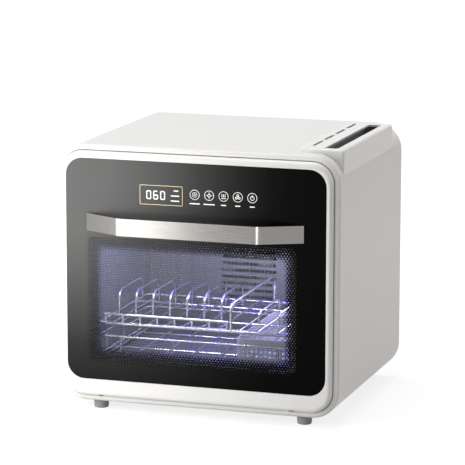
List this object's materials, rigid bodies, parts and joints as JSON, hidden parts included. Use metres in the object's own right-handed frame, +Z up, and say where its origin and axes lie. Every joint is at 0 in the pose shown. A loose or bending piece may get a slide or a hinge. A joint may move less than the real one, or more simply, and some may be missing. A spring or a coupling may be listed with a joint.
{
  "type": "uv dish dryer",
  "caption": "Counter-top dish dryer: rounded box, drop-down glass door with bar handle, sliding wire racks, lamp and warm-air unit, and a raised slotted storage well on top.",
  "frame": {"origin": "on the table, under the middle of the object's box, handle included", "axes": "+X to the right seen from the front, +Y to the back, +Z up"},
  "size_m": [0.44, 0.3966, 0.4135],
  "materials": {
    "white_shell": "satin",
    "white_inner": "matte",
    "dark_glass": "polished",
    "clear_glass": "polished",
    "handle_steel": "brushed",
    "liner_steel": "satin",
    "bright_wire": "polished",
    "zinc_steel": "satin",
    "grey_rubber": "matte",
    "black_plastic": "matte",
    "grey_plastic": "matte",
    "heater_aluminium": "satin",
    "green_board": "satin",
    "component_plastic": "satin",
    "display_black": "satin",
    "lamp_glass": "polished"
  },
  "bodies": {
    "cabinet": {"outer_shell": "white_shell", "feet": "grey_rubber", "foot_screws": "zinc_steel", "front_frame": "white_inner", "inner_liner": "liner_steel", "liner_cradle": "zinc_steel", "slot_housing": "white_shell", "storage_well": "grey_plastic", "latch_magnets": "black_plastic", "switch_body": "black_plastic", "hinge_brackets": "zinc_steel", "hinge_pins": "zinc_steel", "hinge_screws": "zinc_steel", "upper_rails": "liner_steel", "lower_rails": "liner_steel", "air_grille": "liner_steel", "air_duct": "zinc_steel", "ptc_heater": "heater_aluminium", "fan_frame": "black_plastic", "fan_motor": "zinc_steel", "lamp_tubes": "lamp_glass", "lamp_holders": "white_inner", "lamp_guard": "liner_steel", "board_standoffs": "white_inner", "power_board": "green_board", "board_components": "component_plastic", "rear_panel": "white_inner", "rear_screws": "zinc_steel", "power_inlet": "black_plastic", "inlet_screws": "zinc_steel"},
    "door": {"door_frame": "white_shell", "front_glass": "dark_glass", "door_inner_panel": "white_inner", "door_screws": "zinc_steel", "inner_window": "clear_glass", "door_gasket": "grey_rubber", "handle_bar": "handle_steel", "handle_screws": "zinc_steel", "touch_board": "green_board", "display_module": "display_black", "keys_cover": "black_plastic", "strike_plates": "zinc_steel"},
    "upper_drawer": {"upper_rack": "bright_wire", "rack_fence": "bright_wire", "divider_hoop": "bright_wire", "plate_hoops": "bright_wire", "bowl_hoops": "bright_wire"},
    "lower_drawer": {"lower_rack": "bright_wire", "rack_rim": "bright_wire", "rim_posts": "bright_wire", "cutlery_basket": "grey_plastic"},
    "tray": {"drip_tray": "grey_plastic"},
    "impeller": {"fan_impeller": "black_plastic"},
    "plunger": {"switch_plunger": "white_inner"}
  },
  "joints": [
    {"name": "door_hinge", "type": "hinge", "parent": "cabinet", "child": "door", "pos_m": [0, -0.1587, 0.0315], "axis": [1, 0, 0], "range_deg": [0, 80]},
    {"name": "upper_slide", "type": "slide", "parent": "cabinet", "child": "upper_drawer", "axis": [0, -1, 0], "range_m": [0, 0.1677]},
    {"name": "lower_slide", "type": "slide", "parent": "cabinet", "child": "lower_drawer", "axis": [0, -1, 0], "range_m": [0, 0.0978]},
    {"name": "tray_slide", "type": "slide", "parent": "cabinet", "child": "tray", "axis": [0, -1, 0], "range_m": [0, 0.035]},
    {"name": "plunger_travel", "type": "slide", "parent": "cabinet", "child": "plunger", "axis": [0, -1, 0], "range_m": [0, 0.0031]},
    {"name": "fan_spin", "type": "hinge", "parent": "cabinet", "child": "impeller", "pos_m": [-0.0105, 0.1433, 0.164], "axis": [0, 1, 0], "continuous": true}
  ],
  "couplings": [
    {"joint": "upper_slide", "follows": "door_hinge", "m_per_rad": 0.12},
    {"joint": "lower_slide", "follows": "door_hinge", "m_per_rad": 0.07},
    {"joint": "tray_slide", "follows": "door_hinge", "m_per_rad": 0.025},
    {"joint": "plunger_travel", "follows": "door_hinge", "m_per_rad": 0.002149}
  ]
}
